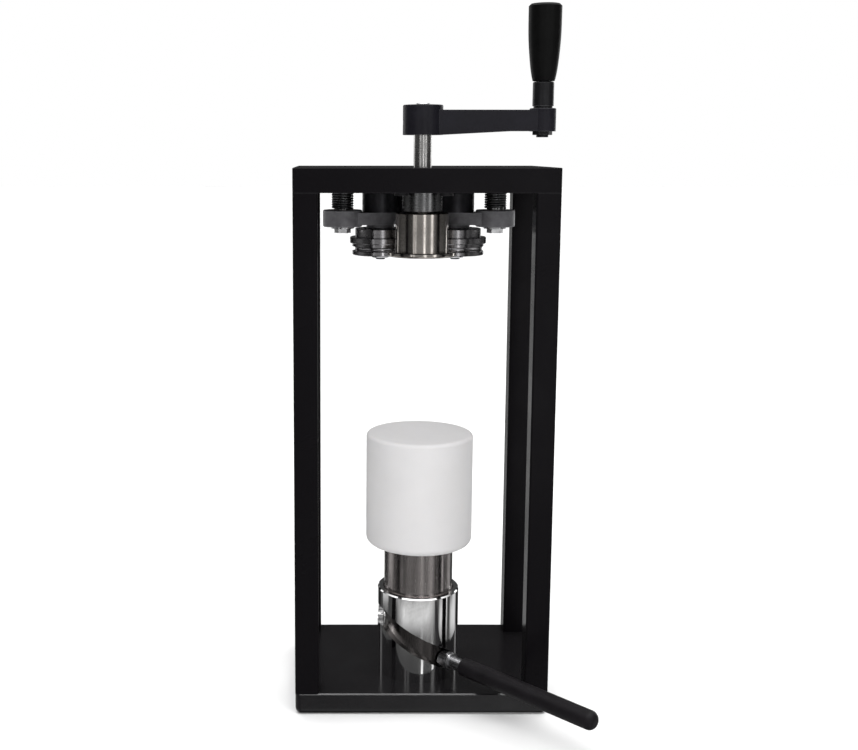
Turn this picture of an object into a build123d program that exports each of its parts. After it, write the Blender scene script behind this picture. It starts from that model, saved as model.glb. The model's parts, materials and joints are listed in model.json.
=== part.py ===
from build123d import *
import math
import os

# Hand-cranked can seamer. Millimetres, +Z up, +X right, the open front faces -Y.
# The origin is on the machine's vertical axis, at the underside of the base.

# ---- driving dimensions -------------------------------------------------------------

frame_width = 172
frame_front = -44
frame_back = 74
frame_height = 370
tube_size = 16
tube_wall = 1.5

base_height = 15
base_sheet = 1.5
base_corner = 4
base_rim_width = 8
base_rim_height = 4.5
base_edge_chamfer = 0.8
cover_thickness = 2
pan_height = 16
pan_sheet = 1.5
head_plate_thickness = 8

small_screw = 4
large_screw = 5
screw_hole_gap = 0.2
cover_screw_inset = 16
cover_boss_diameter = 12
pan_boss_diameter = 9
pan_screw_points = [(x, y) for x in (-77, 77) for y in (-18, 48)]
housing_screw_circle = 42

cam_tube_outer = 57
cam_tube_bore = 48.1
cam_tube_top = 76
cam_flange_outer = 84
cam_flange_thickness = 4
flange_stud_circle = 70
flange_stud_diameter = 5
flange_stud_bottom = 4.6

lift_tube_outer = 48
lift_tube_bore = 42
lift_tube_bottom = 18
lift_tube_top = 108.7

slot_width = 13
slot_rise_per_degree = 0.27
lever_angle = 43
lever_height = 29
slot_upper_angle = -61
slot_end_angle = -90
lever_rod_diameter = 9
lever_grip_start = 43
lever_grip_diameter = 12.5
lever_reach = 152

block_diameter = 74
block_bottom = 109
block_top = 187
block_top_edge = 2.5
block_bottom_edge = 4.5
centre_pin_diameter = 15
centre_pin_top = 142
pin_bush_diameter = 20
race_diameter = 28
race_thickness = 2.7
ball_diameter = 4.6
ball_count = 12
ball_circle_radius = 11.2

shaft_diameter = 12
housing_diameter = 27.6
housing_bottom = 340
housing_top = 367.8
housing_flange = 56
bearing_diameter = 21
bearing_width = 5

chuck_lip_diameter = 46.6
chuck_body_diameter = 36
chuck_bottom = 310
chuck_lip_height = 3.3
chuck_top = 339.6

pivot_x = 53.6
pivot_y = 30
roller_x = 26.6
roller_y = 38
arm_bottom = 329.4
arm_top = 337.9
pivot_boss_diameter = 27.5
pivot_boss_bottom = 328.1
pivot_boss_top = 339.8
pivot_bush_diameter = 13
pivot_journal_diameter = 10
pivot_post_diameter = 12
pivot_bolt_diameter = 6
pivot_bolt_depth = 8
spring_wire = 1.6
spring_pitch = 1.7
spring_turns = 7
spring_radius = 6.9
tip_boss_diameter = 20
axle_head_diameter = 26
axle_head_top = 352
axle_diameter = 8
roller_bottom = 307.8
roller_top = 326.6
roller_rim_radius = 20
roller_flange_radius = 21.75
roller_body_radius = 18
roller_bore_radius = 11.2
roller_flange_bottom = 316
roller_flange_top = 320.5
roller_bearing_bottoms = (309, 318.6)
roller_bearing_width = 7
groove_height = 312.2
groove_depths = {"left": 2.0, "right": 1.1}
groove_widths = {"left": 3.4, "right": 4.4}
axle_bottom = 304.5
axle_end_diameter = 6.5
axle_nut_bottom = 305.6
axle_shoulder = 307

bracket_half_width = 38
bracket_bottom = 328
bracket_front = 59.5
bracket_back = 65.5
bracket_foot_front = 55.5
bracket_foot_back = 68.5
bracket_foot_thickness = 5
bracket_screw_x = (-24, 24)
bracket_screw_y = 62
bracket_screw_reach = 17
stop_screw_height = 333.6
stop_screw_end = 72

crank_length = 80
crank_bottom = 391.2
crank_arm_top = 407.6
crank_hub_top = 411
crank_hub_diameter = 26.9
crank_end_diameter = 17.6
crank_square = 9
set_screw_height = crank_bottom + 8.5
handle_collar_top = 426
handle_top = 476.4
spindle_diameter = 8
grip_profile = (
    (7.3, handle_collar_top + 0.6),
    (8.15, 430.2),
    (9.2, 437),
    (9.95, 444.3),
    (10.55, 452),
    (10.9, 463),
    (10.95, handle_top - 1.4),
)

running_gap = 0.05
touch_gap = 0.02

half_width = frame_width / 2
head_plate_bottom = frame_height - pan_height
head_plate_top = head_plate_bottom + head_plate_thickness
pan_ceiling = frame_height - pan_sheet
base_ceiling = base_height - base_sheet
chuck_lip_top = chuck_bottom + chuck_lip_height
lower_bearing_bottom = housing_bottom + 0.6
upper_bearing_bottom = housing_top - 1.2 - bearing_width
lower_race_top = lift_tube_top + race_thickness
upper_race_bottom = lower_race_top + ball_diameter + 0.1
upper_race_top = upper_race_bottom + race_thickness

os.makedirs("parts", exist_ok=True)


# ---- shapes that repeat -------------------------------------------------------------


def disc(diameter, bottom, top, x=0, y=0):
    """A solid round disc or rod standing on Z."""
    return Pos(x, y, (bottom + top) / 2) * Cylinder(diameter / 2, top - bottom)


def ring(outer, inner, bottom, top, x=0, y=0):
    """A round sleeve standing on Z."""
    return disc(outer, bottom, top, x, y) - disc(inner, bottom - 1, top + 1, x, y)


def block(x_range, y_range, z_range):
    """A rectangular block given by its limits."""
    size = [high - low for low, high in (x_range, y_range, z_range)]
    middle = [(high + low) / 2 for low, high in (x_range, y_range, z_range)]
    return Pos(*middle) * Box(*size)


def through_hole(diameter, x=0, y=0):
    """A round cutter on Z that is taller than the whole machine."""
    return disc(diameter, -1, handle_top + 1, x, y)


def hexagon(across_flats, bottom, top, x=0, y=0):
    """A hexagonal prism standing on Z."""
    outline = RegularPolygon(across_flats / math.sqrt(3), 6)
    return Pos(x, y, bottom) * extrude(outline, top - bottom)


def turned(outline):
    """A solid of revolution about Z from (radius, height) points."""
    return revolve(make_face(Plane.XZ * Polyline(*outline, close=True)), Axis.Z)


def rim_groove(radius, depth, width, height):
    """The round-bottomed groove cut into a rim of the given radius."""
    centre = radius - depth + width / 2
    return revolve(Plane.XZ * Pos(centre, height) * Circle(width / 2), Axis.Z)


def radial_rod(diameter, start, end, angle, height):
    """A level rod pointing away from the machine's axis.

    The angle is measured from the front, positive towards the right-hand side.
    """
    rod = Rot(0, 90, 0) * Cylinder(diameter / 2, end - start)
    return Rot(0, 0, angle - 90) * Pos((start + end) / 2, 0, height) * rod


def group(solids):
    """Identical pieces that share one node."""
    return Compound(children=list(solids))


def save(name, shape):
    """Writes one node."""
    export_step(shape, f"parts/{name}.step")


# ---- frame --------------------------------------------------------------------------


def inset_block(inset, bottom, top):
    """A block over the frame's plan, drawn in by the inset on all four sides."""
    return block(
        (-half_width + inset, half_width - inset),
        (frame_front + inset, frame_back - inset),
        (bottom, top),
    )


def corner_points(inset):
    """The four points set in from the frame's corners."""
    return [
        (x, y)
        for x in (-half_width + inset, half_width - inset)
        for y in (frame_front + inset, frame_back - inset)
    ]


def diagonal_points(circle):
    """Four points on a circle of the given diameter, midway between the axes."""
    angles = [math.radians(45 + 90 * step) for step in range(4)]
    return [(circle / 2 * math.cos(angle), circle / 2 * math.sin(angle)) for angle in angles]


def make_base_shell():
    """The welded base: a shallow box whose lower edge rolls inwards round the cover."""
    shell = inset_block(0, 0, base_height)
    rolled = shell.edges().filter_by(Axis.Z) + shell.edges().group_by(Axis.Z)[0]
    shell = fillet(rolled, base_corner)
    shell = chamfer(shell.edges().group_by(Axis.Z)[-1], base_edge_chamfer)
    shell -= inset_block(base_sheet, base_rim_height, base_ceiling)
    shell -= inset_block(base_rim_width, -1, base_rim_height + 1)
    shell -= through_hole(cam_tube_outer + 2 * touch_gap)
    for x, y in corner_points(cover_screw_inset):
        shell += disc(cover_boss_diameter, cover_thickness, base_height - base_sheet / 2, x, y)
        shell -= disc(small_screw + 2 * touch_gap, 0, base_height - 3, x, y)
    for x, y in flange_stud_points():
        shell += disc(flange_stud_diameter, flange_stud_bottom, base_height - base_sheet / 2, x, y)
    return shell


def make_base_cover():
    plate = inset_block(base_rim_width + 0.1, 0, cover_thickness)
    for x, y in corner_points(cover_screw_inset):
        plate -= Pos(x, y, 0.9) * Cone(4.3, 2.1, 2.2)
        plate -= through_hole(small_screw + screw_hole_gap, x, y)
    return plate


def make_cover_screws():
    screws = []
    for x, y in corner_points(cover_screw_inset):
        head = Pos(x, y, 0.95) * Cone(3.9, 2, 1.9)
        screws.append(head + disc(small_screw, 1, base_height - 4, x, y))
    return group(screws)


def make_post(side, front):
    """One square-tube upright, at the left (-1) or right (+1), front or rear."""
    x = side * (half_width - tube_size / 2)
    y = frame_front + tube_size / 2 if front else frame_back - tube_size / 2
    height = head_plate_bottom - base_height
    outline = RectangleRounded(tube_size, tube_size, 1.2)
    hole = RectangleRounded(tube_size - 2 * tube_wall, tube_size - 2 * tube_wall, 0.6)
    return Pos(x, y, base_height) * extrude(outline - hole, height)


def make_head_plate():
    plate = inset_block(pan_sheet + 0.1, head_plate_bottom, head_plate_top)
    plate -= through_hole(housing_diameter + 2 * touch_gap)
    for x, y in housing_screw_points():
        plate -= through_hole(large_screw + screw_hole_gap, x, y)
    for side in (-1, 1):
        plate -= through_hole(pivot_journal_diameter + 2 * touch_gap, side * pivot_x, pivot_y)
    for x in bracket_screw_x:
        plate -= through_hole(large_screw + screw_hole_gap, x, bracket_screw_y)
    for x, y in pan_screw_points:
        plate -= through_hole(small_screw + 2 * screw_hole_gap, x, y)
    return plate


def housing_screw_points():
    """Four screws on the bearing housing's flange."""
    return diagonal_points(housing_screw_circle)


def make_top_pan():
    pan = inset_block(0, head_plate_bottom, frame_height)
    pan = fillet(pan.edges().filter_by(Axis.Z), 1.2)
    pan = chamfer(pan.edges().group_by(Axis.Z)[-1], 0.4)
    pan -= inset_block(pan_sheet, head_plate_bottom - 1, pan_ceiling)
    pan -= through_hole(shaft_diameter + 4)
    for x, y in pan_screw_points:
        pan += disc(pan_boss_diameter, head_plate_top, pan_ceiling + pan_sheet / 2, x, y)
        pan -= disc(small_screw + 2 * touch_gap, head_plate_top - 1, pan_ceiling - 0.5, x, y)
    return pan


def pan_head_screw(x, y, plane, reach, size, direction):
    """A pan-head screw whose head sits on the plane and whose shank points along Z."""
    head_height = size * 0.55
    head = disc(size * 1.9, *sorted((plane, plane - direction * head_height)), x, y)
    shank = disc(size, *sorted((plane - direction * 0.2, plane + direction * reach)), x, y)
    drive = hexagon(
        size * 0.6, *sorted((plane - direction * head_height, plane - direction * 0.8)), x, y
    )
    return head + shank - drive


def make_pan_screws():
    return group(
        pan_head_screw(x, y, head_plate_bottom, 13, small_screw, 1) for x, y in pan_screw_points
    )


# ---- bearing housing and main shaft -------------------------------------------------


def make_bearing_housing():
    flange = disc(housing_flange, head_plate_top, housing_top)
    sleeve = disc(housing_diameter, housing_bottom, head_plate_top + 1)
    housing = flange + sleeve - disc(bearing_diameter, housing_bottom - 1, housing_top + 1)
    for x, y in housing_screw_points():
        housing -= through_hole(large_screw + screw_hole_gap, x, y)
    return chamfer(housing.edges().group_by(Axis.Z)[0].sort_by(SortBy.RADIUS)[-1], 0.6)


def make_housing_screws():
    return group(
        pan_head_screw(x, y, head_plate_bottom, 12.5, large_screw, 1)
        for x, y in housing_screw_points()
    )


def make_ball_bearing(bottom, width, bore, outer, x=0, y=0):
    """A sealed ball bearing as one closed ring with its two seal grooves."""
    bearing = ring(outer, bore, bottom, bottom + width, x, y)
    middle = (bore + outer) / 2
    land = (outer - bore) / 5
    for low in (bottom - 1, bottom + width - 0.25):
        bearing -= ring(middle + land, middle - land, low, low + 1.25, x, y)
    return bearing


def make_shaft_bearings():
    bore = shaft_diameter + 2 * running_gap
    outer = bearing_diameter - 2 * touch_gap
    return group(
        make_ball_bearing(bottom, bearing_width, bore, outer)
        for bottom in (lower_bearing_bottom, upper_bearing_bottom)
    )


def make_bearing_spacer():
    return ring(
        15,
        shaft_diameter + 2 * touch_gap,
        lower_bearing_bottom + bearing_width,
        upper_bearing_bottom,
    )


def make_main_shaft():
    shaft = disc(shaft_diameter, housing_bottom + 0.5, crank_bottom)
    shaft += disc(10, chuck_bottom + 8, housing_bottom + 1)
    square = block(
        (-crank_square / 2, crank_square / 2),
        (-crank_square / 2, crank_square / 2),
        (crank_bottom - 1, crank_hub_top - 3),
    )
    shaft += square & disc(shaft_diameter, crank_bottom - 1, crank_hub_top)
    shaft -= disc(large_screw + 2 * touch_gap, crank_hub_top - 13, crank_hub_top)
    shaft -= disc(6 + 2 * touch_gap, chuck_bottom, chuck_bottom + 20)
    shaft -= ring(20, 11.2, housing_top - 1.1, housing_top)
    return shaft


def make_shaft_clip():
    clip = ring(16, 11.3, housing_top - 1.05, housing_top - 0.05)
    return clip - block((0, 10), (-2, 2), (360, 370))


def make_chuck():
    chuck = disc(chuck_body_diameter, chuck_bottom + 1, chuck_top)
    chuck = chamfer(chuck.edges().group_by(Axis.Z)[-1], 0.8)
    lip = disc(chuck_lip_diameter, chuck_bottom, chuck_lip_top)
    lip = fillet(lip.edges().group_by(Axis.Z)[0], 1.2)
    lip = chamfer(lip.edges().group_by(Axis.Z)[-1], 0.6)
    chuck = chuck + lip + disc(14, chuck_top - 1, housing_bottom + 0.5)
    chuck -= disc(10 + 2 * touch_gap, chuck_bottom + 8, housing_top)
    chuck -= disc(6.4, chuck_bottom - 1, chuck_bottom + 9)
    return chuck - disc(28, chuck_bottom - 1, chuck_bottom + 4.5)


def make_chuck_screw():
    screw = disc(12, chuck_bottom + 1, chuck_bottom + 4.5) + disc(6, chuck_bottom + 4, 328)
    return screw - hexagon(5, chuck_bottom, chuck_bottom + 3.2)


# ---- crank --------------------------------------------------------------------------


def make_crank_arm():
    hub = disc(crank_hub_diameter, crank_bottom, crank_hub_top)
    hub = fillet(hub.edges().group_by(Axis.Z)[-1], 0.8)
    end = disc(crank_end_diameter, crank_bottom + 2.4, crank_arm_top + 1.2, crank_length)
    end = fillet(end.edges().group_by(Axis.Z)[-1], 0.8)
    plan = make_hull(Circle(9.2).edges() + (Pos(crank_length, 0) * Circle(7.4)).edges())
    arm = Pos(0, 0, crank_bottom) * extrude(plan, crank_arm_top - crank_bottom)
    underside = Polyline(
        (10, crank_bottom - 1),
        (10, crank_bottom),
        (crank_length - 20, crank_bottom + 2.6),
        (crank_length + 12, crank_bottom + 2.6),
        (crank_length + 12, crank_bottom - 1),
        close=True,
    )
    arm -= extrude(make_face(Plane.XZ * underside), 20, both=True)
    crank = arm + hub + end
    hole = crank_square + 2 * touch_gap
    corners = disc(shaft_diameter + 2 * touch_gap, crank_bottom - 2, crank_hub_top - 2.9)
    side = (-hole / 2, hole / 2)
    crank -= block(side, side, (crank_bottom - 1, crank_hub_top - 2.9)) & corners
    crank -= disc(16.4, crank_hub_top - 2.9, crank_hub_top + 1)
    crank -= through_hole(spindle_diameter + 2 * touch_gap, crank_length)
    set_screw_hole = Rot(0, 90, 0) * Cylinder(2.5 + touch_gap, 20)
    return crank - Pos(-14, 0, set_screw_height) * set_screw_hole


def make_crank_screw():
    """The button-head screw with its captive washer that holds the crank down."""
    plane = crank_hub_top - 1.7
    screw = disc(9.5, plane, plane + 2.8) + disc(5, crank_hub_top - 12, plane + 1)
    screw = fillet(screw.edges().group_by(Axis.Z)[-1], 0.8)
    washer = disc(16, crank_hub_top - 2.9, plane + 0.01)
    return screw + washer - hexagon(3.2, plane + 0.9, plane + 3)


def make_set_screw():
    screw = Rot(0, 90, 0) * Cylinder(2.5, 7.5)
    drive = Rot(0, 90, 0) * extrude(RegularPolygon(1.4, 6), 2)
    screw -= Pos(-3.8, 0, 0) * drive
    return Pos(-crank_square / 2 - touch_gap - 3.75, 0, set_screw_height) * screw


def make_handle_spindle():
    """The fixed pin of the crank's handle, with the collar under the grip."""
    spindle = disc(spindle_diameter, crank_bottom - 1.5, handle_top - 6.5, crank_length)
    collar = disc(14.1, crank_arm_top + 1.2, handle_collar_top, crank_length)
    collar = chamfer(collar.edges(), 0.6)
    neck = ring(20, 12.6, crank_arm_top + 1.2, crank_arm_top + 2.6, crank_length)
    return spindle + collar - neck + disc(12, handle_top - 6.5, handle_top - 4.5, crank_length)


def make_spindle_nut():
    nut = hexagon(11.5, crank_bottom, crank_bottom + 2.4, crank_length)
    return nut - through_hole(spindle_diameter + 2 * touch_gap, crank_length)


def make_crank_grip():
    bore = spindle_diameter / 2 + running_gap
    side = Plane.XZ * Spline(*grip_profile)
    edge_radius, edge_height = grip_profile[-1]
    outline = side + Plane.XZ * Polyline(
        (edge_radius, edge_height),
        (edge_radius - 1.4, handle_top),
        (6.6, handle_top),
        (6.6, handle_top - 6.6),
        (bore, handle_top - 6.6),
        (bore, handle_collar_top + 0.6),
        grip_profile[0],
    )
    return Pos(crank_length, 0, 0) * revolve(make_face(outline), Axis.Z)


def make_grip_cap():
    cap = disc(13.1, handle_top - 3.6, handle_top - 0.1, crank_length)
    return fillet(cap.edges().group_by(Axis.Z)[-1], 0.6)


# ---- roller arms --------------------------------------------------------------------


def make_pivot_posts():
    posts = []
    for side in (-1, 1):
        x = side * pivot_x
        post = disc(pivot_post_diameter, pivot_boss_top + 0.3, head_plate_bottom, x, pivot_y)
        post += disc(pivot_journal_diameter, pivot_boss_bottom, head_plate_top + 5.5, x, pivot_y)
        bolt_hole = disc(
            pivot_bolt_diameter + 2 * touch_gap,
            pivot_boss_bottom - 1,
            pivot_boss_bottom + pivot_bolt_depth + 1,
            x,
            pivot_y,
        )
        posts.append(post - bolt_hole)
    return group(posts)


def make_pivot_nuts():
    """The low nuts that hold the two pivot posts on top of the head plate."""
    nuts = []
    for side in (-1, 1):
        x = side * pivot_x
        nut = hexagon(15, head_plate_top, head_plate_top + 5, x, pivot_y)
        nuts.append(nut - through_hole(pivot_journal_diameter + 2 * touch_gap, x, pivot_y))
    return group(nuts)


def make_pivot_bolts():
    """The flanged bolts that keep the arms on their posts."""
    bolts = []
    for side in (-1, 1):
        x = side * pivot_x
        head = hexagon(10, pivot_boss_bottom - 4.4, pivot_boss_bottom - 1, x, pivot_y)
        flange = disc(16, pivot_boss_bottom - 1.3, pivot_boss_bottom - 0.1, x, pivot_y)
        shank = disc(
            pivot_bolt_diameter,
            pivot_boss_bottom - 1.2,
            pivot_boss_bottom + pivot_bolt_depth,
            x,
            pivot_y,
        )
        bolts.append(head + flange + shank)
    return group(bolts)


def make_arm_springs():
    """The close-wound torsion springs round the pivot posts, which open the arms again."""
    springs = []
    length = spring_turns * spring_pitch
    start = (pivot_boss_top + head_plate_bottom - length) / 2
    for side in (-1, 1):
        coil = Helix(spring_pitch, length, spring_radius, lefthand=side < 0)
        section = Plane(origin=coil @ 0, z_dir=coil % 0) * Circle(spring_wire / 2)
        wire = sweep(section, path=coil, is_frenet=True)
        springs.append(Pos(side * pivot_x, pivot_y, start) * wire)
    return group(springs)


def make_roller_arm(side):
    pivot = Pos(side * pivot_x, pivot_y) * Circle(11.5)
    tip = Pos(side * roller_x, roller_y) * Circle(11)
    plate = Pos(0, 0, arm_bottom) * extrude(
        make_hull(pivot.edges() + tip.edges()), arm_top - arm_bottom
    )
    boss = disc(
        pivot_boss_diameter, pivot_boss_bottom, pivot_boss_top, side * pivot_x, pivot_y
    )
    tip_boss = disc(
        tip_boss_diameter, roller_top + 0.3, arm_bottom + 1, side * roller_x, roller_y
    )
    arm = plate + chamfer(boss.edges(), 0.6) + tip_boss
    arm -= through_hole(pivot_bush_diameter, side * pivot_x, pivot_y)
    return arm - through_hole(axle_diameter + 2 * touch_gap, side * roller_x, roller_y)


def make_arm_bush(side):
    return ring(
        pivot_bush_diameter,
        pivot_journal_diameter + 2 * running_gap,
        pivot_boss_bottom,
        pivot_boss_top,
        side * pivot_x,
        pivot_y,
    )


def make_roller_axle(side):
    x = side * roller_x
    head = disc(axle_head_diameter, arm_top, axle_head_top, x, roller_y)
    head = chamfer(head.edges().group_by(Axis.Z)[-1], 0.8)
    axle = head + disc(axle_diameter, axle_shoulder, arm_top + 1, x, roller_y)
    return axle + disc(axle_end_diameter, axle_bottom, axle_shoulder + 1, x, roller_y)


def make_axle_nut(side):
    nut = hexagon(10, axle_nut_bottom, axle_shoulder, side * roller_x, roller_y)
    return nut - through_hole(axle_end_diameter + 2 * touch_gap, side * roller_x, roller_y)


def make_seaming_roller(side, side_name):
    """A steel roller whose groove folds the can's edge: deep and narrow, or shallow and wide."""
    body = turned(
        [
            (roller_bore_radius, roller_bottom),
            (roller_rim_radius - 0.4, roller_bottom),
            (roller_rim_radius, roller_bottom + 0.4),
            (roller_rim_radius, roller_flange_bottom),
            (roller_flange_radius - 0.5, roller_flange_bottom),
            (roller_flange_radius, roller_flange_bottom + 0.5),
            (roller_flange_radius, roller_flange_top - 0.5),
            (roller_flange_radius - 0.5, roller_flange_top),
            (roller_body_radius, roller_flange_top),
            (roller_body_radius, roller_top - 0.6),
            (roller_body_radius - 0.6, roller_top),
            (roller_bore_radius, roller_top),
        ]
    )
    body -= rim_groove(
        roller_rim_radius, groove_depths[side_name], groove_widths[side_name], groove_height
    )
    return Pos(side * roller_x, roller_y, 0) * body


def make_roller_bearings(side):
    bore = axle_diameter + 2 * running_gap
    x = side * roller_x
    return group(
        make_ball_bearing(
            bottom, roller_bearing_width, bore, 2 * roller_bore_radius, x, roller_y
        )
        for bottom in roller_bearing_bottoms
    )


# ---- stop bracket -------------------------------------------------------------------


def make_stop_bracket():
    width = (-bracket_half_width, bracket_half_width)
    wall = block(width, (bracket_front, bracket_back), (bracket_bottom, head_plate_bottom))
    foot = block(
        width,
        (bracket_foot_front, bracket_foot_back),
        (head_plate_bottom - bracket_foot_thickness, head_plate_bottom),
    )
    bracket = fillet((wall + foot).edges().filter_by(Axis.Z), 1)
    tapping = Rot(90, 0, 0) * Cylinder(large_screw / 2 + touch_gap, 30)
    for side in (-1, 1):
        bracket -= Pos(side * roller_x, bracket_front, stop_screw_height) * tapping
    hole_bottom = head_plate_top - bracket_screw_reach - 3
    for x in bracket_screw_x:
        bracket -= disc(
            large_screw + 2 * touch_gap, hole_bottom, head_plate_bottom + 1, x, bracket_screw_y
        )
    return bracket


def make_bracket_screws():
    return group(
        pan_head_screw(x, bracket_screw_y, head_plate_top, bracket_screw_reach, large_screw, -1)
        for x in bracket_screw_x
    )


def make_stop_screws():
    """The screws that set how far each arm opens."""
    screws = []
    tip = roller_y + 11.3
    for side in (-1, 1):
        rod = Rot(90, 0, 0) * Cylinder(large_screw / 2, stop_screw_end - tip)
        middle = (stop_screw_end + tip) / 2
        screws.append(Pos(side * roller_x, middle, stop_screw_height) * rod)
    return group(screws)


def make_stop_nuts():
    nuts = []
    for side in (-1, 1):
        section = RegularPolygon(4.6, 6) - Circle(large_screw / 2 + touch_gap)
        nut = Rot(90, 0, 0) * extrude(section, -3)
        nuts.append(Pos(side * roller_x, bracket_back, stop_screw_height) * nut)
    return group(nuts)


# ---- lift ---------------------------------------------------------------------------


def slot_height(angle):
    """Height of the slot's middle line at an angle from the front."""
    return lever_height + (lever_angle - angle) * slot_rise_per_degree


def make_slot_cutter():
    radius = (cam_tube_outer + cam_tube_bore) / 4
    depth = cam_tube_outer - cam_tube_bore
    lead = slot_rise_per_degree * 360
    upper = slot_height(slot_upper_angle)
    path = Helix(lead, upper - lever_height, radius, lefthand=True)
    section = Plane(origin=path @ 0, x_dir=(1, 0, 0), z_dir=path % 0)
    ramp = sweep(section * Rectangle(depth, slot_width), path=path, is_frenet=True)
    cutter = Pos(0, 0, lever_height) * Rot(0, 0, lever_angle - 90) * ramp
    level = Plane.XZ * Pos(radius, upper) * Rectangle(depth, slot_width)
    swing = slot_upper_angle - slot_end_angle
    level = revolve(level, Axis.Z, revolution_arc=swing)
    cutter += Rot(0, 0, slot_end_angle - 90) * level
    inside = radius - depth / 2
    outside = radius + depth / 2
    for angle, height in (
        (lever_angle, lever_height),
        (slot_upper_angle, upper),
        (slot_end_angle, upper),
    ):
        cutter += radial_rod(slot_width, inside, outside, angle, height)
    return cutter


def make_cam_tube():
    flange_bottom = base_ceiling - cam_flange_thickness
    tube = ring(cam_tube_outer, cam_tube_bore, flange_bottom, cam_tube_top)
    tube = chamfer(tube.edges().group_by(Axis.Z)[-1], 0.8)
    tube += ring(cam_flange_outer, cam_tube_bore, flange_bottom, base_ceiling)
    for x, y in flange_stud_points():
        tube -= through_hole(flange_stud_diameter + 2 * screw_hole_gap, x, y)
    return tube - make_slot_cutter()


def flange_stud_points():
    """The four studs, welded under the base's top, that hold the cam tube's flange."""
    return diagonal_points(flange_stud_circle)


def make_flange_nuts():
    top = base_ceiling - cam_flange_thickness
    return group(
        hexagon(8, top - 4, top, x, y) - through_hole(flange_stud_diameter + 2 * touch_gap, x, y)
        for x, y in flange_stud_points()
    )


def make_lift_tube():
    tube = ring(lift_tube_outer, lift_tube_bore, lift_tube_bottom, lift_tube_top)
    return tube - radial_rod(lever_rod_diameter + 0.1, 15, 30, lever_angle, lever_height)


def make_anchor_plug():
    """The block inside the lift tube that the lever screws into."""
    plug = disc(lift_tube_bore - 2 * touch_gap, lift_tube_bottom + 2, lever_height + 10)
    plug = chamfer(plug.edges(), 0.8)
    return plug - radial_rod(
        lever_rod_diameter + 2 * touch_gap, 8, 30, lever_angle, lever_height
    )


def make_top_plug():
    """The plug in the top of the lift tube, with the pin that the platform turns on."""
    plug = disc(lift_tube_bore - 2 * touch_gap, lift_tube_top - 12, lift_tube_top)
    pin = disc(centre_pin_diameter, lift_tube_top - 1, centre_pin_top)
    return plug + chamfer(pin.edges().group_by(Axis.Z)[-1], 1)


def make_lower_race():
    return ring(race_diameter, centre_pin_diameter + 2 * touch_gap, lift_tube_top, lower_race_top)


def make_upper_race():
    return ring(race_diameter, centre_pin_diameter + 0.6, upper_race_bottom, upper_race_top)


def ball_points():
    angles = [2 * math.pi * step / ball_count for step in range(ball_count)]
    return [
        (ball_circle_radius * math.cos(angle), ball_circle_radius * math.sin(angle))
        for angle in angles
    ]


def make_thrust_balls():
    middle = (lower_race_top + upper_race_bottom) / 2
    return group(Pos(x, y, middle) * Sphere(ball_diameter / 2) for x, y in ball_points())


def make_thrust_cage():
    middle = (lower_race_top + upper_race_bottom) / 2
    cage = ring(27.4, centre_pin_diameter + 0.8, middle - 0.9, middle + 0.9)
    for x, y in ball_points():
        cage -= disc(ball_diameter + 0.1, middle - 2, middle + 2, x, y)
    return cage


def make_platform_block():
    body = disc(block_diameter, block_bottom, block_top)
    body = fillet(body.edges().group_by(Axis.Z)[0], block_bottom_edge)
    body = fillet(body.edges().group_by(Axis.Z)[-1], block_top_edge)
    body -= disc(race_diameter + 2 * touch_gap, block_bottom - 1, upper_race_top)
    return body - disc(pin_bush_diameter, block_bottom, centre_pin_top + 1)


def make_pin_bush():
    return ring(
        pin_bush_diameter - 2 * touch_gap,
        centre_pin_diameter + 2 * running_gap,
        upper_race_top + 0.2,
        centre_pin_top,
    )


def make_lever_rod():
    return radial_rod(lever_rod_diameter, 9, lever_grip_start + 18, lever_angle, lever_height)


def make_cam_bush():
    """The roller on the lever that runs in the slot."""
    bush = radial_rod(slot_width - 0.6, 24.6, 31.6, lever_angle, lever_height)
    return bush - radial_rod(
        lever_rod_diameter + 2 * touch_gap, 20, 40, lever_angle, lever_height
    )


def make_lever_washer():
    washer = radial_rod(11.6, 31.8, 33.2, lever_angle, lever_height)
    return washer - radial_rod(
        lever_rod_diameter + 2 * touch_gap, 20, 40, lever_angle, lever_height
    )


def make_lever_grip():
    radius = lever_grip_diameter / 2
    length = lever_reach - lever_grip_start
    grip = Rot(0, 90, 0) * Cylinder(radius, length)
    tip = grip.edges().group_by(Axis.X)[-1]
    grip = fillet(tip, radius - 1.2)
    mouth = grip.edges().group_by(Axis.X)[0]
    grip = chamfer(mouth, 0.7)
    middle = (lever_reach + lever_grip_start) / 2
    grip = Rot(0, 0, lever_angle - 90) * Pos(middle, 0, lever_height) * grip
    return grip - radial_rod(
        lever_rod_diameter + 2 * touch_gap, 30, lever_grip_start + 18.2, lever_angle, lever_height
    )


# ---- every node ---------------------------------------------------------------------

save("base_shell", make_base_shell())
save("base_cover", make_base_cover())
save("base_cover_screws", make_cover_screws())
for side, side_name in ((-1, "left"), (1, "right")):
    save(f"post_front_{side_name}", make_post(side, True))
    save(f"post_rear_{side_name}", make_post(side, False))
save("head_plate", make_head_plate())
save("top_pan", make_top_pan())
save("top_pan_screws", make_pan_screws())

save("bearing_housing", make_bearing_housing())
save("housing_screws", make_housing_screws())
save("shaft_bearings", make_shaft_bearings())
save("bearing_spacer", make_bearing_spacer())
save("main_shaft", make_main_shaft())
save("shaft_clip", make_shaft_clip())
save("seaming_chuck", make_chuck())
save("chuck_screw", make_chuck_screw())

save("crank_arm", make_crank_arm())
save("crank_screw", make_crank_screw())
save("crank_set_screw", make_set_screw())
save("handle_spindle", make_handle_spindle())
save("spindle_nut", make_spindle_nut())
save("crank_grip", make_crank_grip())
save("grip_cap", make_grip_cap())

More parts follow.
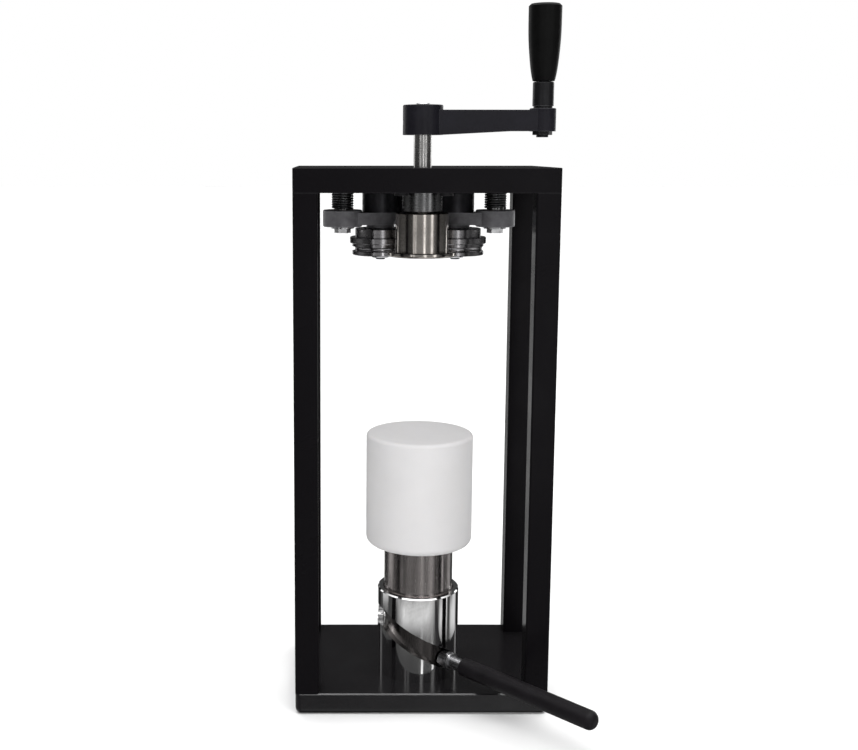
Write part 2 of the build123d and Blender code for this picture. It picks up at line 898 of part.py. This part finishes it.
save("pivot_nuts", make_pivot_nuts())
save("pivot_bolts", make_pivot_bolts())
save("pivot_posts", make_pivot_posts())
save("arm_springs", make_arm_springs())
for side, side_name in ((-1, "left"), (1, "right")):
    save(f"roller_arm_{side_name}", make_roller_arm(side))
    save(f"arm_bush_{side_name}", make_arm_bush(side))
    save(f"roller_axle_{side_name}", make_roller_axle(side))
    save(f"axle_nut_{side_name}", make_axle_nut(side))
    save(f"seaming_roller_{side_name}", make_seaming_roller(side, side_name))
    save(f"roller_bearings_{side_name}", make_roller_bearings(side))

save("stop_bracket", make_stop_bracket())
save("bracket_screws", make_bracket_screws())
save("stop_screws", make_stop_screws())
save("stop_nuts", make_stop_nuts())

save("cam_tube", make_cam_tube())
save("flange_nuts", make_flange_nuts())
save("lift_tube", make_lift_tube())
save("anchor_plug", make_anchor_plug())
save("top_plug", make_top_plug())
save("lower_race", make_lower_race())
save("thrust_balls", make_thrust_balls())
save("thrust_cage", make_thrust_cage())
save("upper_race", make_upper_race())
save("platform_block", make_platform_block())
save("pin_bush", make_pin_bush())
save("lever_rod", make_lever_rod())
save("cam_bush", make_cam_bush())
save("lever_washer", make_lever_washer())
save("lever_grip", make_lever_grip())
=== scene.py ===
import json
import math

import bpy
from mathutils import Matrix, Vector


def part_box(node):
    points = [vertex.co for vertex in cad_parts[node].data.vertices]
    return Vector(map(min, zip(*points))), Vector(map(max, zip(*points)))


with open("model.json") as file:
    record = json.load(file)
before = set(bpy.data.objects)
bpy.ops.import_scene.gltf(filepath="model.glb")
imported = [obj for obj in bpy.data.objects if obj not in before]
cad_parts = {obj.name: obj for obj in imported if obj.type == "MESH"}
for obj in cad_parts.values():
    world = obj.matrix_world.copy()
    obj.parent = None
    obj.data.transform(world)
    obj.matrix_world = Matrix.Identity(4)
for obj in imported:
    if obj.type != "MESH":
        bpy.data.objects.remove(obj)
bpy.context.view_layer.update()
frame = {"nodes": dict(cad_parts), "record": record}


# ---- node graph helpers --------------------------------------------------------------


class Graph:
    """Short calls for adding and joining the nodes of one tree."""

    def __init__(self, tree):
        self.tree = tree

    def node(self, kind, **settings):
        made = self.tree.nodes.new(kind)
        for key, value in settings.items():
            setattr(made, key, value)
        return made

    def link(self, source, target):
        self.tree.links.new(source, target)

    def spread(self, source, low, high, start=0.3, end=0.7):
        """Maps a value between start and end to low and high, and clamps it."""
        spread = self.node("ShaderNodeMapRange")
        self.link(source, spread.inputs["Value"])
        for socket, value in zip(
            ("From Min", "From Max", "To Min", "To Max"), (start, end, low, high)
        ):
            spread.inputs[socket].default_value = value
        return spread.outputs["Result"]

    def math(self, operation, first, second):
        made = self.node("ShaderNodeMath", operation=operation)
        for socket, value in zip(made.inputs, (first, second)):
            if isinstance(value, (int, float)):
                socket.default_value = value
            else:
                self.link(value, socket)
        return made.outputs["Value"]


class Surface(Graph):
    """A principled material, and short calls for the nodes that feed it."""

    # A mix node has one set of sockets for each kind of value. These are the colour ones.
    first_colour, second_colour, mixed_colour = 6, 7, 2

    def __init__(self, name, **values):
        self.material = bpy.data.materials.new(name)
        self.material.use_nodes = True
        super().__init__(self.material.node_tree)
        self.shader = self.tree.nodes["Principled BSDF"]
        for socket, value in values.items():
            self.shader.inputs[socket.replace("_", " ")].default_value = value
        self.place = self.node("ShaderNodeTexCoord").outputs["Object"]

    def feed(self, socket, source):
        """Joins a node's output to one of the shader's sockets."""
        self.link(source, self.shader.inputs[socket])

    def stretched(self, scale):
        """The object's own coordinates, scaled along each axis."""
        mapping = self.node("ShaderNodeMapping")
        self.link(self.place, mapping.inputs["Vector"])
        mapping.inputs["Scale"].default_value = scale
        return mapping.outputs["Vector"]

    def noise(self, size, detail, roughness, vector=None, distortion=0):
        """Noise whose grains are about the given size in metres."""
        noise = self.node("ShaderNodeTexNoise")
        self.link(vector or self.place, noise.inputs["Vector"])
        noise.inputs["Scale"].default_value = 1 / size
        noise.inputs["Detail"].default_value = detail
        noise.inputs["Roughness"].default_value = roughness
        noise.inputs["Distortion"].default_value = distortion
        return noise.outputs["Fac"]

    def mix(self, factor, first, second):
        """A colour between two colours."""
        made = self.node("ShaderNodeMix", data_type="RGBA")
        self.link(factor, made.inputs["Factor"])
        for socket, value in ((self.first_colour, first), (self.second_colour, second)):
            if isinstance(value, tuple):
                made.inputs[socket].default_value = (*value, 1)
            else:
                self.link(value, made.inputs[socket])
        return made.outputs[self.mixed_colour]

    def bump(self, height, distance, strength):
        """Feeds a height, with distance metres of relief at 1, to the shader's normal."""
        made = self.node("ShaderNodeBump")
        made.inputs["Distance"].default_value = distance
        made.inputs["Strength"].default_value = strength
        self.link(height, made.inputs["Height"])
        self.feed("Normal", made.outputs["Normal"])

    def worn_edges(self, radius):
        """How near a point is to a sharp edge: 0 on a flat, 1 on the edge itself."""
        slight_turn, full_turn = 0.02, 0.12
        rounded = self.node("ShaderNodeBevel", samples=4)
        rounded.inputs["Radius"].default_value = radius
        sharp = self.node("ShaderNodeNewGeometry").outputs["Normal"]
        agree = self.node("ShaderNodeVectorMath", operation="DOT_PRODUCT")
        self.link(rounded.outputs["Normal"], agree.inputs[0])
        self.link(sharp, agree.inputs[1])
        turned = self.math("SUBTRACT", 1, agree.outputs["Value"])
        return self.spread(turned, 0, 1, start=slight_turn, end=full_turn)


def shade(colour, factor):
    """The same colour, lighter or darker."""
    return tuple(factor * channel for channel in colour)


# ---- materials -----------------------------------------------------------------------

thinned_paint = (0.11, 0.11, 0.115)
thinned_enamel = (0.1, 0.1, 0.11)
rubbed_steel = (0.42, 0.42, 0.43)
enamel_dark = (0.0048, 0.0044, 0.0072)
enamel_light = (0.0088, 0.0082, 0.0128)
chrome_clean = (0.86, 0.86, 0.865)
chrome_wiped = (0.76, 0.755, 0.75)
nylon_light = (0.636, 0.628, 0.632)
nylon_dark = (0.61, 0.602, 0.606)
nylon_speck = (0.52, 0.5, 0.48)

# Ways to stretch a noise, as scales along X, Y and Z.
rings_round_z = (0.02, 0.02, 1)
brushed_along_z = (1, 1, 0.02)
scratched_along_z = (1, 1, 0.05)
wiped_along_z = (1, 1, 0.35)


def black_paint(name, colour=(0.0042, 0.0037, 0.0045), roughness=(0.16, 0.3), specular=0.05):
    """Oven-cured black paint: faint orange peel, handling smears, paint thinned at edges."""
    paint = Surface(name, Specular_IOR_Level=specular)
    smears = paint.noise(size=0.05, detail=5, roughness=0.62, distortion=0.6)
    peel = paint.noise(size=0.0016, detail=2, roughness=0.5)
    dust = paint.noise(size=0.0006, detail=2, roughness=0.7)
    dusty = paint.spread(dust, 0, 0.35, start=0.62, end=0.8)
    body = paint.mix(dusty, colour, shade(colour, 3.2))
    wear = paint.math("MULTIPLY", paint.worn_edges(radius=0.0006), paint.spread(smears, 0, 0.35))
    paint.feed("Base Color", paint.mix(wear, body, thinned_paint))
    paint.feed("Roughness", paint.spread(smears, *roughness))
    paint.bump(peel, distance=0.00003, strength=0.5)
    return paint.material


def turned_steel(name, colour, roughness=(0.12, 0.3)):
    """Steel turned in a lathe: fine rings round a vertical axis, seen as bump and sheen."""
    steel = Surface(name, Metallic=1.0)
    rings = steel.noise(0.00035, 4, 0.6, steel.stretched(rings_round_z))
    stains = steel.noise(size=0.012, detail=4, roughness=0.6, distortion=0.4)
    steel.feed("Base Color", steel.mix(steel.spread(stains, 0, 1), colour, shade(colour, 0.75)))
    steel.feed("Roughness", steel.math(
        "ADD", steel.spread(rings, 0, 0.08), steel.spread(stains, *roughness)))
    steel.bump(rings, distance=0.000004, strength=0.6)
    return steel.material


def shaded_in_cam_tube(name, colour, roughness):
    """Steel brushed along its length, with painted shade: darker below the cam tube's top, where
    it sits inside the cam tube.
    """
    # the blurred edge of the painted shade, and how wavy that edge is, in metres
    shade_fade = 0.004
    shade_wave = 0.002
    steel = Surface(name, Metallic=1.0)
    lines = steel.noise(0.0004, 3, 0.65, steel.stretched(brushed_along_z))
    cloud = steel.noise(size=0.02, detail=4, roughness=0.6)
    height = steel.node("ShaderNodeSeparateXYZ")
    steel.link(steel.place, height.inputs[0])
    wavy = steel.math("ADD", height.outputs["Z"], steel.spread(cloud, -shade_wave, shade_wave))
    cam_tube_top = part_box("cam_tube")[1].z
    # painted shade: below the cam tube's top the colour is five times darker
    cam_tube_shade = steel.spread(wavy, 1, 0, start=cam_tube_top - shade_fade, end=cam_tube_top)
    unshaded = steel.mix(steel.spread(cloud, 0, 1), colour, shade(colour, 0.8))
    steel.feed("Base Color", steel.mix(cam_tube_shade, unshaded, shade(colour, 0.2)))
    steel.feed("Roughness", steel.math(
        "ADD", steel.spread(lines, -0.05, 0.08), steel.spread(cloud, *roughness)))
    steel.bump(lines, distance=0.000006, strength=0.5)
    return steel.material


def chrome(name):
    """Polished chrome with the cloudy marks of a wiping cloth and hairline scratches."""
    tube = Surface(name, Metallic=1.0)
    wipe = tube.noise(0.018, 5, 0.65, tube.stretched(wiped_along_z), distortion=0.8)
    scratches = tube.noise(0.0005, 2, 0.6, tube.stretched(scratched_along_z))
    tube.feed("Base Color", tube.mix(tube.spread(wipe, 0, 1), chrome_clean, chrome_wiped))
    tube.feed("Roughness", tube.math(
        "ADD", tube.spread(wipe, 0.02, 0.09), tube.spread(scratches, 0, 0.02)))
    tube.bump(scratches, distance=0.000002, strength=0.4)
    return tube.material


def dull_steel(name, colour, roughness=(0.38, 0.55), edge=0.5, metallic=0.6):
    """Blackened or phosphated steel, brighter where its edges are rubbed."""
    steel = Surface(name, Metallic=metallic)
    cloud = steel.noise(size=0.006, detail=5, roughness=0.65)
    grain = steel.noise(size=0.0004, detail=3, roughness=0.6)
    body = steel.mix(steel.spread(cloud, 0, 1), colour, shade(colour, 0.6))
    rubbed = steel.spread(cloud, 0.2 * edge, edge)
    wear = steel.math("MULTIPLY", steel.worn_edges(radius=0.0004), rubbed)
    steel.feed("Base Color", steel.mix(wear, body, rubbed_steel))
    steel.feed("Roughness", steel.spread(cloud, *roughness))
    steel.bump(grain, distance=0.00002, strength=0.5)
    return steel.material


def cast_paint(name):
    """Satin black enamel over a die-cast arm."""
    paint = Surface(name, Specular_IOR_Level=0.25)
    skin = paint.noise(size=0.0022, detail=4, roughness=0.6)
    cloud = paint.noise(size=0.02, detail=4, roughness=0.6, distortion=0.5)
    body = paint.mix(paint.spread(cloud, 0, 1), enamel_dark, enamel_light)
    wear = paint.math("MULTIPLY", paint.worn_edges(radius=0.0007), paint.spread(cloud, 0.05, 0.5))
    paint.feed("Base Color", paint.mix(wear, body, thinned_enamel))
    paint.feed("Roughness", paint.spread(cloud, 0.33, 0.48))
    paint.bump(skin, distance=0.00006, strength=0.5)
    return paint.material


def moulded_plastic(name, colour, specular, roughness=(0.36, 0.5)):
    """Black plastic or rubber with a moulded grain, lighter where hands have been."""
    plastic = Surface(name, Specular_IOR_Level=specular)
    texture = plastic.noise(size=0.0005, detail=2, roughness=0.5)
    handling = plastic.noise(size=0.015, detail=4, roughness=0.6, distortion=0.5)
    plastic.feed("Base Color", plastic.mix(
        plastic.spread(handling, 0, 1), colour, shade(colour, 1.7)))
    plastic.feed("Roughness", plastic.spread(handling, *roughness))
    plastic.bump(texture, distance=0.00004, strength=0.6)
    return plastic.material


def white_nylon(name):
    """Turned white nylon: faint lathe rings on its side, soft light inside."""
    nylon = Surface(name, Subsurface_Weight=0.25, Subsurface_Scale=0.004,
                    Subsurface_Radius=(1, 0.9, 0.8), Specular_IOR_Level=0.4)
    rings = nylon.noise(0.0006, 3, 0.6, nylon.stretched(rings_round_z))
    cloud = nylon.noise(size=0.03, detail=4, roughness=0.55)
    specks = nylon.noise(size=0.0012, detail=3, roughness=0.7)
    body = nylon.mix(nylon.spread(cloud, 0, 1), nylon_light, nylon_dark)
    speckled = nylon.spread(specks, 0, 0.5, start=0.68, end=0.8)
    nylon.feed("Base Color", nylon.mix(speckled, body, nylon_speck))
    nylon.feed("Roughness", nylon.spread(cloud, 0.42, 0.55))
    nylon.bump(rings, distance=0.000012, strength=0.6)
    return nylon.material


def metal_pieces(name, colour):
    """Small turned or plated pieces whose rings follow no single axis."""
    steel = Surface(name, Metallic=1.0)
    cloud = steel.noise(size=0.004, detail=5, roughness=0.65)
    grain = steel.noise(size=0.0003, detail=3, roughness=0.6)
    steel.feed("Base Color", steel.mix(steel.spread(cloud, 0, 1), colour, shade(colour, 0.72)))
    steel.feed("Roughness", steel.spread(cloud, 0.2, 0.4))
    steel.bump(grain, distance=0.000008, strength=0.5)
    return steel.material


# One material for each material slot of the record.
materials = {
    "frame_paint": black_paint("frame_paint"),
    "plate_paint": black_paint("plate_paint", (0.008, 0.008, 0.009), roughness=(0.34, 0.5)),
    "black_screws": dull_steel("black_screws", (0.02, 0.02, 0.022)),
    "bright_screws": metal_pieces("bright_screws", (0.72, 0.72, 0.73)),
    "polished_shaft": turned_steel("polished_shaft", (0.66, 0.65, 0.64)),
    "dark_steel": turned_steel("dark_steel", (0.24, 0.24, 0.243), roughness=(0.16, 0.3)),
    "spring_steel": metal_pieces("spring_steel", (0.16, 0.16, 0.165)),
    "bearing_steel": metal_pieces("bearing_steel", (0.6, 0.6, 0.62)),
    "cage_brass": metal_pieces("cage_brass", (0.6, 0.42, 0.16)),
    "bronze": metal_pieces("bronze", (0.5, 0.32, 0.15)),
    "polished_chuck": turned_steel("polished_chuck", (0.6, 0.56, 0.52), roughness=(0.07, 0.16)),
    "roller_steel": turned_steel("roller_steel", (0.42, 0.41, 0.42), roughness=(0.1, 0.24)),
    "arm_steel": dull_steel("arm_steel", (0.15, 0.147, 0.157), edge=0.8, metallic=0.2),
    "crank_paint": cast_paint("crank_paint"),
    "spindle_black": dull_steel("spindle_black", (0.018, 0.018, 0.02), roughness=(0.28, 0.42)),
    "grip_plastic": moulded_plastic("grip_plastic", (0.0018, 0.0018, 0.0018), specular=0.12),
    "cam_tube_chrome": chrome("cam_tube_chrome"),
    # the lift tube gets painted shade where it sits inside the cam tube
    "lift_tube_steel": shaded_in_cam_tube("lift_tube_steel", (0.4, 0.37, 0.362), roughness=(0.15, 0.25)),
    "lever_steel": turned_steel("lever_steel", (0.3, 0.3, 0.31), roughness=(0.15, 0.3)),
    "lever_rubber": moulded_plastic(
        "lever_rubber", (0.005, 0.0043, 0.0052), specular=0.15, roughness=(0.42, 0.56)),
    "white_plastic": white_nylon("white_plastic"),
}

# Pieces that look different from the others in their slot.
# painted light: the base's paint is the frame paint with twice its colour, so the base reads
# brighter than the posts
base_paint_painted_light = black_paint(
    "base_paint_painted_light", (0.0085, 0.008, 0.0088), roughness=(0.12, 0.22), specular=0.3)
axle_black = dull_steel("axle_black", (0.028, 0.027, 0.032), roughness=(0.3, 0.45), edge=0.25)
own_materials = {
    "base_shell": base_paint_painted_light,
    "roller_axle_left": axle_black,
    "roller_axle_right": axle_black,
}

slot_of = {part["node"]: part["material_slot"] for part in frame["record"]["subparts"]}
for name, node in frame["nodes"].items():
    for slot in node.material_slots:
        slot.material = own_materials.get(name, materials[slot_of[name]])


# ---- floor, light and camera ---------------------------------------------------------

floor_reach = 12.0
floor_light_grey = (0.93, 0.93, 0.93)
floor_dark_grey = (0.9, 0.9, 0.9)


def make_floor():
    """A plain pale floor, left out of the steel's reflections."""
    mesh = bpy.data.meshes.new("floor")
    corners = ((-1, -1), (1, -1), (1, 1), (-1, 1))
    mesh.from_pydata(
        [(x * floor_reach, y * floor_reach, 0) for x, y in corners], [], [(0, 1, 2, 3)])
    floor = bpy.data.objects.new("floor", mesh)
    bpy.context.scene.collection.objects.link(floor)
    pale = Surface("floor_pale", Specular_IOR_Level=0.1, Roughness=0.9)
    cloud = pale.noise(size=0.4, detail=3, roughness=0.5)
    pale.feed("Base Color", pale.mix(cloud, floor_light_grey, floor_dark_grey))
    mesh.materials.append(pale.material)
    floor.visible_glossy = False


def make_light(name, place, target, size, power, mirrored=False):
    """A rectangular lamp. Only a mirrored one shows in reflections."""
    lamp = bpy.data.lights.new(name, "AREA")
    lamp.shape = "RECTANGLE"
    lamp.size, lamp.size_y = size
    lamp.energy = power
    light = bpy.data.objects.new(name, lamp)
    light.location = place
    light.rotation_euler = (Vector(target) - Vector(place)).to_track_quat("-Z", "Y").to_euler()
    light.visible_glossy = mirrored
    bpy.context.scene.collection.objects.link(light)


# The soft dome: its strengths, and the sines of elevation between which it brightens.
horizon_light = 0.06
zenith_light = 2.3
dome_start = 0.5
dome_end = 0.9

# Soft boxes round the machine: azimuth from the front and half-width in degrees,
# strength, and the sines of the lowest and highest elevation they reach.
soft_boxes = (
    # upright strips, for the long highlights on the tubes and the chuck
    (8, 4.5, 1.7, -0.3, 0.45),
    (41, 5.5, 1.4, -0.3, 0.45),
    (9, 3.5, 1.4, -0.455, -0.412),
    (40, 3.5, 1.1, -0.455, -0.412),
    (-30, 2.5, 0.9, -0.3, 0.45),
    (-38, 2.5, 1.1, -0.3, 0.45),
    (-140, 14, 1.2, -0.3, 0.45),
    (140, 14, 2.0, -0.3, 0.45),
    # a weak wide front, for the chuck's body
    (8, 55, 0.24, -0.3, 0.3),
    # the low band that the brushed lift tube shows
    (-110, 16, 0.8, -0.37, -0.3),
    (-66, 12, 0.4, -0.37, -0.3),
    (4, 16, 0.14, -0.37, -0.3),
    (40, 14, 0.55, -0.37, -0.3),
    (80, 8, 2.0, -0.37, -0.3),
    (122, 12, 0.6, -0.37, -0.3),
    # the lower band that the top of the cam tube shows
    (-8, 58, 0.9, -0.392, -0.37),
    (74, 17, 0.9, -0.396, -0.37),
    (116, 18, 0.7, -0.396, -0.37),
    # the rims of the tubes and the posts' inner faces
    (-167, 5, 0.9, -0.46, 0.1),
    (-90, 20, 0.6, -0.28, -0.12),
    (90, 20, 0.6, -0.28, -0.12),
    # glow from the ground, for views from above
    (15, 40, 0.7, -0.9, -0.46),
    (95, 25, 0.8, -0.9, -0.45),
    (160, 20, 0.6, -0.9, -0.41),
    (-135, 25, 0.8, -0.9, -0.41),
    (-75, 20, 0.6, -0.9, -0.45),
)
soft_edge = 0.008        # half the height of a box's blurred edge, as a sine
full_part = 0.6          # of the half-width is at full strength


def make_world():
    """White to the camera. Its light is a soft dome with the soft boxes under it."""
    world = bpy.data.worlds.new("studio")
    world.use_nodes = True
    world.node_tree.nodes.clear()
    sky = Graph(world.node_tree)
    direction = sky.node("ShaderNodeTexCoord").outputs["Generated"]
    split = sky.node("ShaderNodeSeparateXYZ")
    sky.link(direction, split.inputs[0])
    height = split.outputs["Z"]
    level = sky.node("ShaderNodeVectorMath", operation="MULTIPLY")
    sky.link(direction, level.inputs[0])
    level.inputs[1].default_value = (1, 1, 0)
    heading = sky.node("ShaderNodeVectorMath", operation="NORMALIZE")
    sky.link(level.outputs["Vector"], heading.inputs[0])
    total = sky.spread(height, horizon_light, zenith_light, start=dome_start, end=dome_end)
    for azimuth, half_width, strength, lowest, highest in soft_boxes:
        turn = math.radians(azimuth - 90)
        towards = sky.node("ShaderNodeVectorMath", operation="DOT_PRODUCT")
        sky.link(heading.outputs["Vector"], towards.inputs[0])
        towards.inputs[1].default_value = (math.cos(turn), math.sin(turn), 0)
        edge, core = (math.cos(math.radians(part * half_width)) for part in (1, full_part))
        across = sky.spread(towards.outputs["Value"], 0, strength, start=edge, end=core)
        above = sky.spread(height, 0, 1, start=lowest - soft_edge, end=lowest + soft_edge)
        below = sky.spread(height, 1, 0, start=highest - soft_edge, end=highest + soft_edge)
        box = sky.math("MULTIPLY", across, sky.math("MULTIPLY", above, below))
        total = sky.math("ADD", total, box)
    output, mixer = sky.node("ShaderNodeOutputWorld"), sky.node("ShaderNodeMixShader")
    seen, lit = sky.node("ShaderNodeBackground"), sky.node("ShaderNodeBackground")
    seen.inputs["Color"].default_value = (1, 1, 1, 1)
    lit.inputs["Color"].default_value = (1, 1, 1, 1)
    sky.link(total, lit.inputs["Strength"])
    camera_ray = sky.node("ShaderNodeLightPath").outputs["Is Camera Ray"]
    sky.link(camera_ray, mixer.inputs[0])
    sky.link(lit.outputs[0], mixer.inputs[1])
    sky.link(seen.outputs[0], mixer.inputs[2])
    sky.link(mixer.outputs[0], output.inputs[0])
    bpy.context.scene.world = world


sensor_width = 36        # millimetres, as is the lens
lens = 48.57
lens_shift = (0.106, -0.056)
eye_left = 0.0568        # from the middle of the top pan
eye_forward = 0.786      # from the spindle's axis
eye_above = 0.010        # above the top pan
look_down = 8.6          # degrees


def make_camera():
    """The camera stands a little left of the machine, level with the top of its frame."""
    low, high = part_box("top_pan")
    centre_x = (low.x + high.x) / 2
    camera = bpy.data.cameras.new("camera")
    camera.sensor_width = sensor_width
    camera.lens = lens
    camera.shift_x, camera.shift_y = lens_shift
    camera.clip_start = 0.01
    camera.clip_end = 50
    eye = bpy.data.objects.new("camera", camera)
    eye.location = (centre_x - eye_left, -eye_forward, high.z + eye_above)
    eye.rotation_euler = (math.radians(90) - math.radians(look_down), 0, 0)
    bpy.context.scene.collection.objects.link(eye)
    bpy.context.scene.camera = eye


middle = (0, 0, 0.2)
make_floor()
make_world()
make_light("overhead_strip", place=(0, -0.62, 1.27), target=(0, 0, 0.05), size=(1.6, 0.08),
           power=4.8, mirrored=True)
make_light("front_left", place=(-0.8, -1.5, 0.55), target=middle, size=(1.0, 1.0), power=4.0)
make_light("front_right", place=(0.9, -1.4, 0.5), target=middle, size=(0.8, 1.0), power=2.3)
make_light("back", place=(0.2, 1.2, 1.0), target=middle, size=(1.4, 0.8), power=3.0)
make_camera()

scene = bpy.context.scene
scene.view_settings.view_transform = "Standard"
